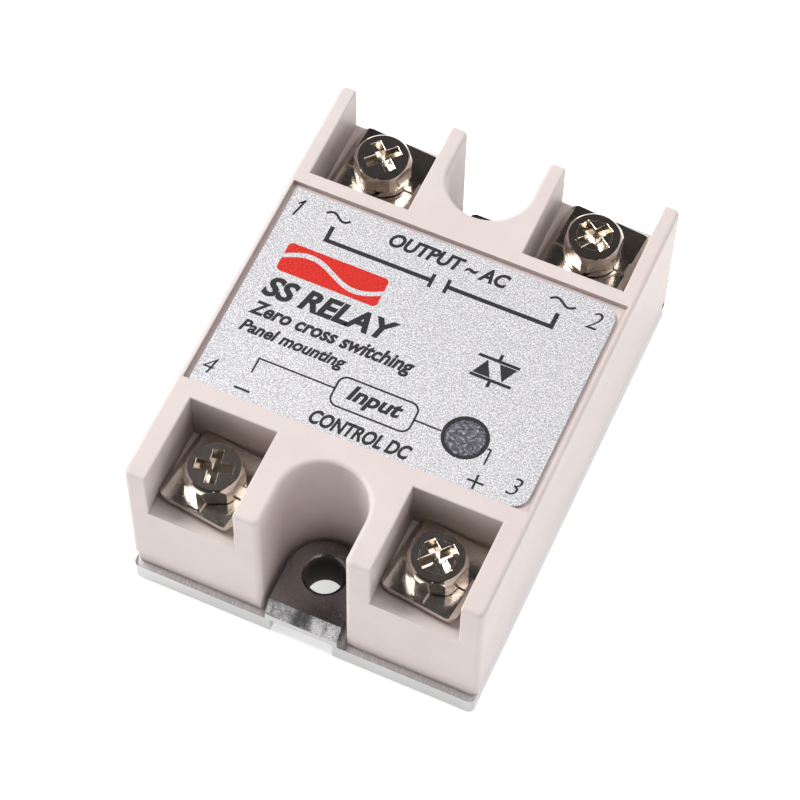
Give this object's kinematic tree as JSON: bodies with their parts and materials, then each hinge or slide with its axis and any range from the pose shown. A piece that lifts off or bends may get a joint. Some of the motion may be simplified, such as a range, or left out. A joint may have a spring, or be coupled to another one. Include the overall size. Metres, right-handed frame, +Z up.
{
  "type": "solid state relay",
  "caption": "Panel-mount relay: an off-white housing on a metal base with notched fixing ends, a recessed label and screw clamp terminals in open pockets.",
  "frame": {"origin": "on the underside of the metal base, at the middle of its outline", "axes": "+X across the terminals towards terminals 2 and 3, +Y towards the output end, +Z up out of the label"},
  "size_m": [0.045, 0.0618, 0.0244],
  "materials": {
    "base_metal": "satin, tumbled, with fine pits",
    "housing_plastic": "satin moulded",
    "label_foil": "fine speckled silver foil with printed marks",
    "window_lens": "frosted translucent",
    "led_lens": "tinted epoxy",
    "board": "solder mask",
    "component_black": "moulded epoxy",
    "pad_ceramic": "unglazed",
    "potting": "cured compound",
    "resistor_coat": "lacquer with bands",
    "capacitor_case": "moulded case",
    "plated_contact": "nickel plated",
    "plated_clamp": "nickel plated, pressed",
    "plated_screw": "nickel plated, cold formed"
  },
  "bodies": {
    "relay": {"base_plate": "base_metal", "housing": "housing_plastic", "label_plate": "label_foil", "status_window": "window_lens", "indicator_led": "led_lens", "circuit_board": "board", "power_triac": "component_black", "insulating_pad": "pad_ceramic", "potting_compound": "potting", "optocoupler": "component_black", "input_transistor": "component_black", "resistors": "resistor_coat", "snubber_capacitor": "capacitor_case", "snubber_resistor": "resistor_coat", "protection_diode": "component_black", "terminal_plate_1": "plated_contact", "terminal_plate_2": "plated_contact", "terminal_plate_3": "plated_contact", "terminal_plate_4": "plated_contact", "terminal_nut_1": "plated_contact", "terminal_nut_2": "plated_contact", "terminal_nut_3": "plated_contact", "terminal_nut_4": "plated_contact"},
    "clamp_1": {"clamp_washer_1": "plated_clamp", "spring_washer_1": "plated_clamp"},
    "screw_1": {"terminal_screw_1": "plated_screw"},
    "clamp_2": {"clamp_washer_2": "plated_clamp", "spring_washer_2": "plated_clamp"},
    "screw_2": {"terminal_screw_2": "plated_screw"},
    "clamp_3": {"clamp_washer_3": "plated_clamp"},
    "screw_3": {"terminal_screw_3": "plated_screw"},
    "clamp_4": {"clamp_washer_4": "plated_clamp"},
    "screw_4": {"terminal_screw_4": "plated_screw"}
  },
  "joints": [
    {"name": "clamp_lift_1", "type": "slide", "parent": "relay", "child": "clamp_1", "axis": [0, 0, 1], "range_m": [0, 0.0028]},
    {"name": "screw_turn_1", "type": "hinge", "parent": "clamp_1", "child": "screw_1", "pos_m": [-0.014, 0.0235, 0.0187], "axis": [0, 0, 1], "range_deg": [0, 1440]},
    {"name": "clamp_lift_2", "type": "slide", "parent": "relay", "child": "clamp_2", "axis": [0, 0, 1], "range_m": [0, 0.0028]},
    {"name": "screw_turn_2", "type": "hinge", "parent": "clamp_2", "child": "screw_2", "pos_m": [0.014, 0.0235, 0.0187], "axis": [0, 0, 1], "range_deg": [0, 1440]},
    {"name": "clamp_lift_3", "type": "slide", "parent": "relay", "child": "clamp_3", "axis": [0, 0, 1], "range_m": [0, 0.0028]},
    {"name": "screw_turn_3", "type": "hinge", "parent": "clamp_3", "child": "screw_3", "pos_m": [0.01415, -0.0235, 0.0182], "axis": [0, 0, 1], "range_deg": [0, 1440]},
    {"name": "clamp_lift_4", "type": "slide", "parent": "relay", "child": "clamp_4", "axis": [0, 0, 1], "range_m": [0, 0.0028]},
    {"name": "screw_turn_4", "type": "hinge", "parent": "clamp_4", "child": "screw_4", "pos_m": [-0.01415, -0.0235, 0.0182], "axis": [0, 0, 1], "range_deg": [0, 1440]}
  ],
  "couplings": [
    {"joint": "screw_turn_1", "follows": "clamp_lift_1", "rad_per_m": 8976},
    {"joint": "screw_turn_2", "follows": "clamp_lift_2", "rad_per_m": 8976},
    {"joint": "screw_turn_3", "follows": "clamp_lift_3", "rad_per_m": 8976},
    {"joint": "screw_turn_4", "follows": "clamp_lift_4", "rad_per_m": 8976}
  ]
}
